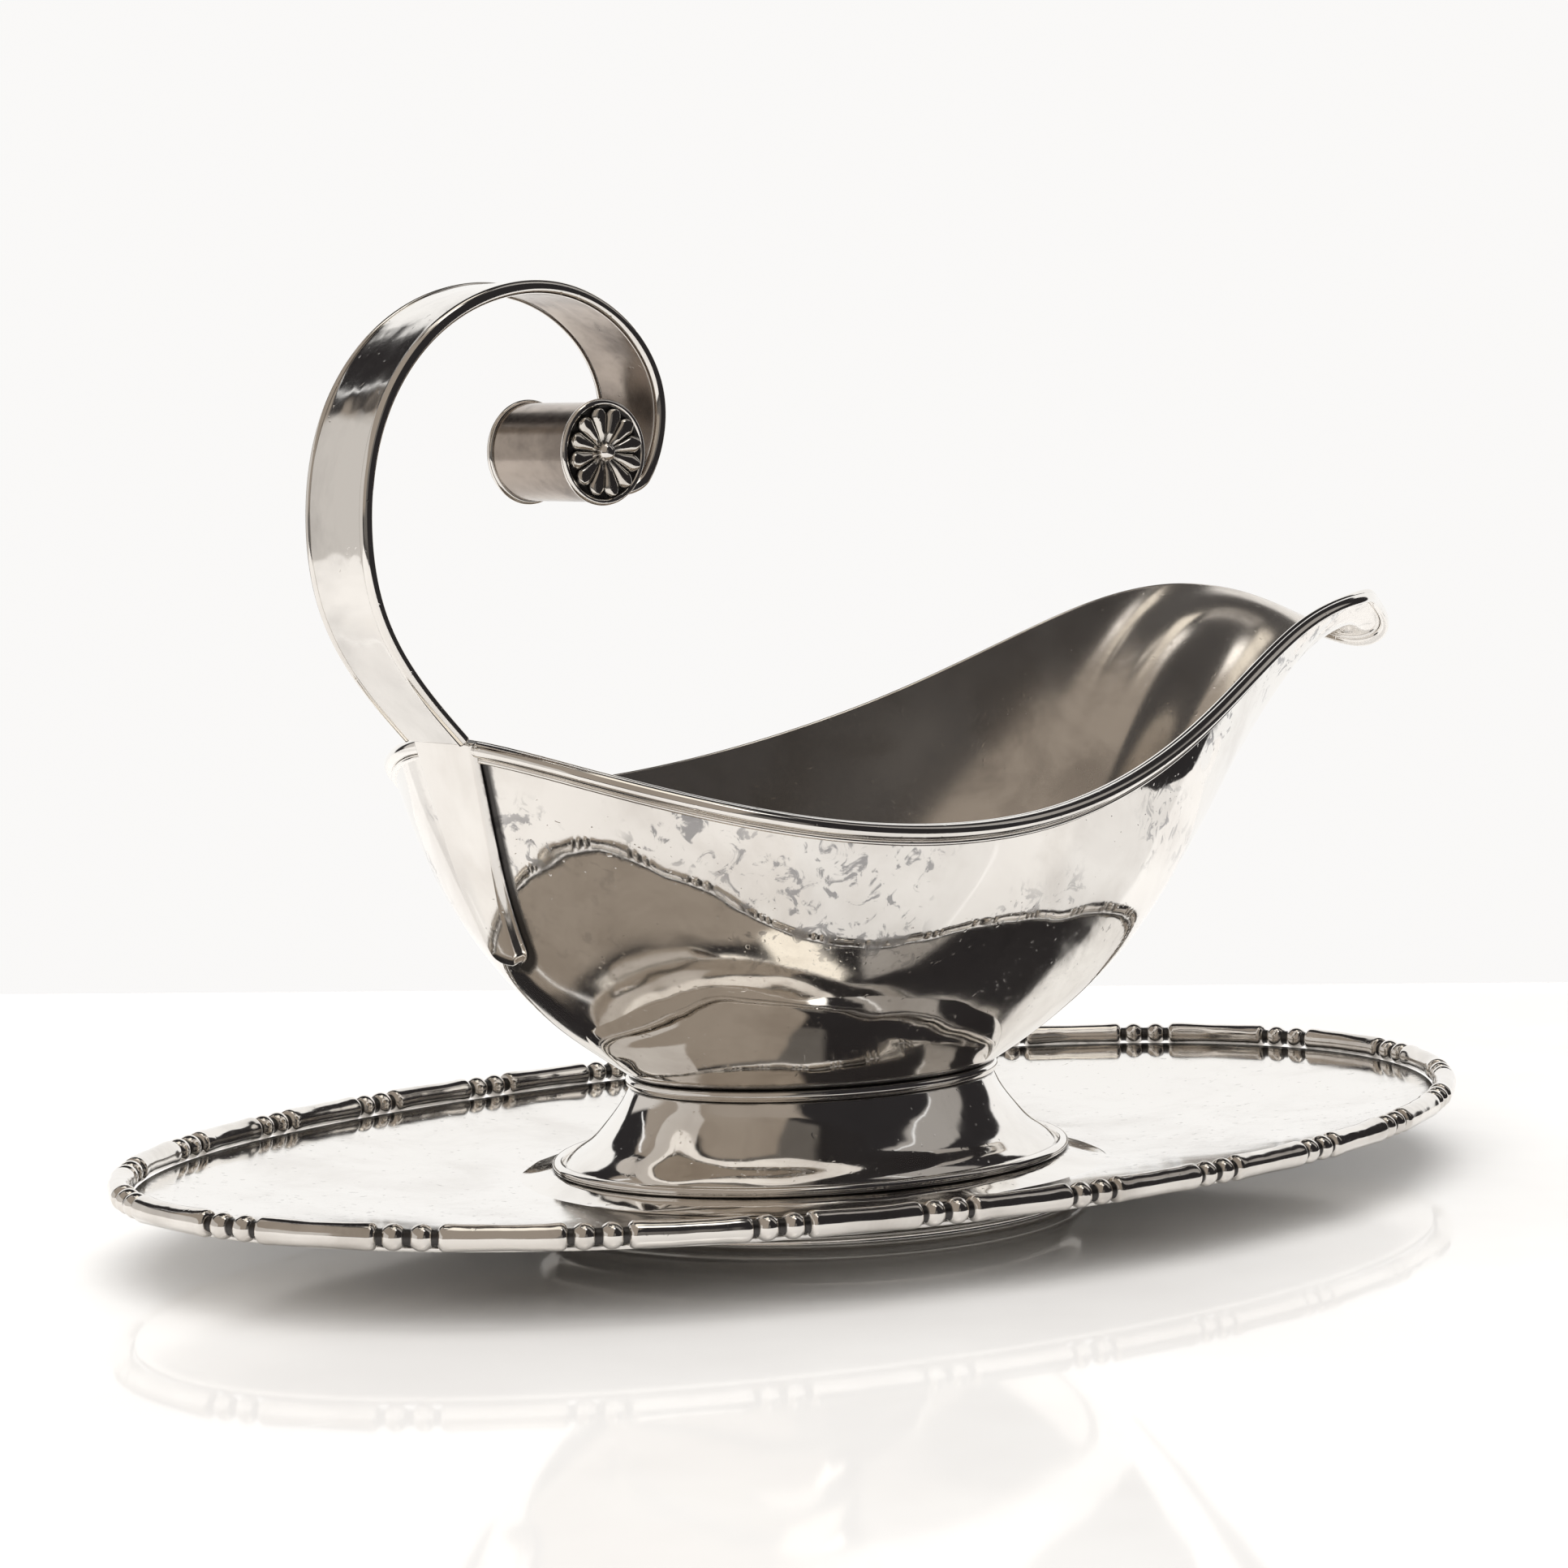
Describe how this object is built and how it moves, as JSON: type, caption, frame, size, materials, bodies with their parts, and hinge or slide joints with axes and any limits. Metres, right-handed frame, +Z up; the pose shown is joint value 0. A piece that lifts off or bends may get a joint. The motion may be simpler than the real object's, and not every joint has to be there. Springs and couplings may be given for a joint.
{
  "type": "sauce boat",
  "caption": "Hammered silver sauce boat with a raised pouring lip and an open scroll handle, on an oval foot soldered to a dished oval stand with a bar-and-bead border.",
  "frame": {"origin": "bottom centre of the whole object's box, on the surface that the stand rests on", "axes": "+Z up, +X along the object from the handle to the pouring lip, +Y to the left of someone who looks along +X"},
  "size_m": [0.2524, 0.147, 0.1432],
  "materials": {
    "hammered_silver": "hand-hammered and polished silver, faint planishing marks",
    "polished_silver": "polished silver wire and sheet, dark patina in the recesses",
    "pattern_silver": "polished silver pattern wire, oxidised between the beads",
    "tarnished_silver": "silver with brown-grey tarnish and blackened grooves"
  },
  "bodies": {
    "root": {"bowl_shell": "hammered_silver", "rim_half_round": "polished_silver", "rim_bead_wire": "polished_silver", "neck_ring": "polished_silver", "foot_collet": "polished_silver", "foot_lip_wire": "polished_silver", "handle_strap": "hammered_silver", "handle_tongue": "hammered_silver", "scroll_tube": "tarnished_silver", "tray_plate": "hammered_silver", "tray_seat_collar": "polished_silver", "tray_foot_ring": "polished_silver", "tray_foot_wire": "polished_silver", "handle_edge_wire_left": "polished_silver", "scroll_cap_left": "tarnished_silver", "cap_collar_left": "polished_silver", "cap_rosette_left": "tarnished_silver", "rosette_boss_left": "polished_silver", "handle_edge_wire_right": "polished_silver", "scroll_cap_right": "tarnished_silver", "cap_collar_right": "polished_silver", "cap_rosette_right": "tarnished_silver", "rosette_boss_right": "polished_silver", "border_wire_1": "pattern_silver", "border_wire_2": "pattern_silver", "border_wire_3": "pattern_silver", "border_wire_4": "pattern_silver"}
  },
  "joints": []
}
